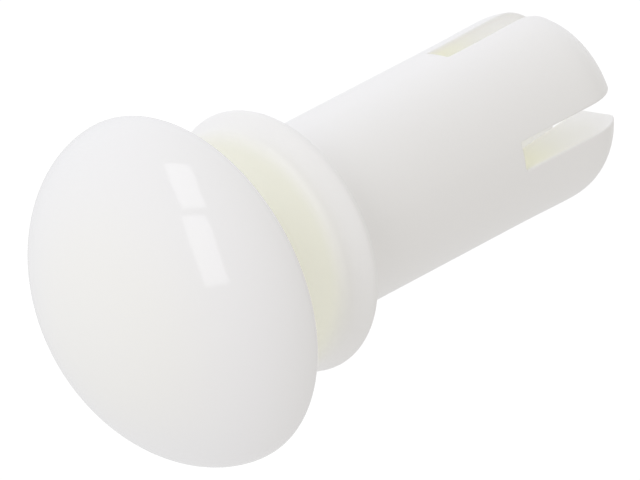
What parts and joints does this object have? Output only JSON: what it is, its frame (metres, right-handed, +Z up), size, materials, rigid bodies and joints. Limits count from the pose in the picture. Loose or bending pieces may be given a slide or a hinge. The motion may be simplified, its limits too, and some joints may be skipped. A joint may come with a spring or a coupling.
{
  "type": "wall anchor",
  "caption": "Push-in wall anchor: a domed drive pin part-way into a flanged sleeve whose split end spreads behind the wall.",
  "frame": {"origin": "on the anchor's axis, in the plane of the collar's rear face, which bears on the wall", "axes": "+Y along the shank, into the wall and towards the tips of the legs; the domed head faces -Y; +Z up"},
  "size_m": [0.0074, 0.0133, 0.0074],
  "materials": {
    "pin_nylon": "glossy natural nylon, milky and slightly translucent",
    "sleeve_nylon": "satin natural nylon, milky with a slight warm tint"
  },
  "bodies": {
    "sleeve": {"sleeve": "sleeve_nylon"},
    "drive_pin": {"drive_pin": "pin_nylon"},
    "leg_1": {"leg_1": "sleeve_nylon"},
    "leg_2": {"leg_2": "sleeve_nylon"},
    "leg_3": {"leg_3": "sleeve_nylon"},
    "leg_4": {"leg_4": "sleeve_nylon"}
  },
  "joints": [
    {"name": "pin_drive", "type": "slide", "parent": "sleeve", "child": "drive_pin", "axis": [0, 1, 0], "range_m": [0, 0.0018]},
    {"name": "leg_1_spread", "type": "hinge", "parent": "sleeve", "child": "leg_1", "pos_m": [0.001, 0.00505, 0.00173], "axis": [0.866, 0, -0.5], "range_deg": [0, 8]},
    {"name": "leg_2_spread", "type": "hinge", "parent": "sleeve", "child": "leg_2", "pos_m": [-0.00173, 0.00505, 0.001], "axis": [0.5, 0, 0.866], "range_deg": [0, 8]},
    {"name": "leg_3_spread", "type": "hinge", "parent": "sleeve", "child": "leg_3", "pos_m": [-0.001, 0.00505, -0.00173], "axis": [-0.866, 0, 0.5], "range_deg": [0, 8]},
    {"name": "leg_4_spread", "type": "hinge", "parent": "sleeve", "child": "leg_4", "pos_m": [0.00173, 0.00505, -0.001], "axis": [-0.5, 0, -0.866], "range_deg": [0, 8]}
  ],
  "couplings": [
    {"joint": "leg_1_spread", "follows": "pin_drive", "rad_per_m": 77.5},
    {"joint": "leg_2_spread", "follows": "pin_drive", "rad_per_m": 77.5},
    {"joint": "leg_3_spread", "follows": "pin_drive", "rad_per_m": 77.5},
    {"joint": "leg_4_spread", "follows": "pin_drive", "rad_per_m": 77.5}
  ]
}
